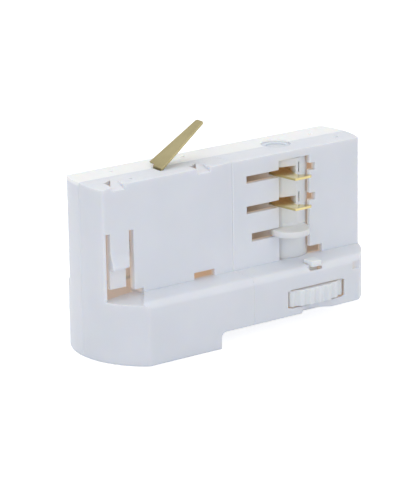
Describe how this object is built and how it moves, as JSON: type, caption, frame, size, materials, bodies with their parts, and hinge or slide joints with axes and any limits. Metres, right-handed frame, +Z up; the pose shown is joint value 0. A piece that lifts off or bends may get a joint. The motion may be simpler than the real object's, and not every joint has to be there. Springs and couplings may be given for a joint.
{
  "type": "track light adapter",
  "caption": "Track light adapter: slab that enters the track, wider base below, turning contact rotor with thumb wheel, earth spring on top and a threaded stem entry.",
  "frame": {"origin": "middle of the ledge plane that the underside of the track rests on, on the middle line of the slab", "axes": "+X along the track towards the rotor end, -Y towards the front with the thumb wheel tab, +Z up into the track"},
  "size_m": [0.0814, 0.036, 0.0538],
  "materials": {
    "white_plastic": "fine satin moulding",
    "cream_plastic": "satin moulding",
    "brass": "stamped, slightly dull",
    "steel": "zinc plated"
  },
  "bodies": {
    "housing": {"rear_housing": "white_plastic", "front_housing": "white_plastic", "wiring_cover": "white_plastic", "tab_spring": "steel", "earth_strap": "brass", "terminal_block": "white_plastic", "terminal_clamps": "brass", "terminal_screws": "steel", "line_strip_1": "brass", "line_strip_2": "brass", "line_strip_3": "brass", "neutral_strip": "brass", "stem_nut": "brass", "housing_screws": "steel"},
    "rotor": {"rotor_drum": "cream_plastic", "blade_front_upper": "brass", "blade_front_lower": "brass", "blade_rear_upper": "brass", "blade_rear_lower": "brass", "thumb_wheel": "cream_plastic"},
    "tab": {"interlock_tab": "cream_plastic"},
    "earth_leaf": {"earth_spring": "brass"}
  },
  "joints": [
    {"name": "rotor_turn", "type": "hinge", "parent": "housing", "child": "rotor", "pos_m": [0.0187, 0, 0], "axis": [0, 0, 1], "range_deg": [-90, 0]},
    {"name": "tab_press", "type": "slide", "parent": "housing", "child": "tab", "axis": [0, 0, 1], "range_m": [-0.0006, 0], "stiffness_N_per_m": 150, "springref_m": 0.002, "deforming": ["tab_spring"]},
    {"name": "earth_leaf_bend", "type": "hinge", "parent": "housing", "child": "earth_leaf", "pos_m": [-0.0183, 0, 0.0283], "axis": [0, 1, 0], "range_deg": [0, 27], "stiffness_Nm_per_rad": 0.02, "springref_deg": -11.46}
  ]
}
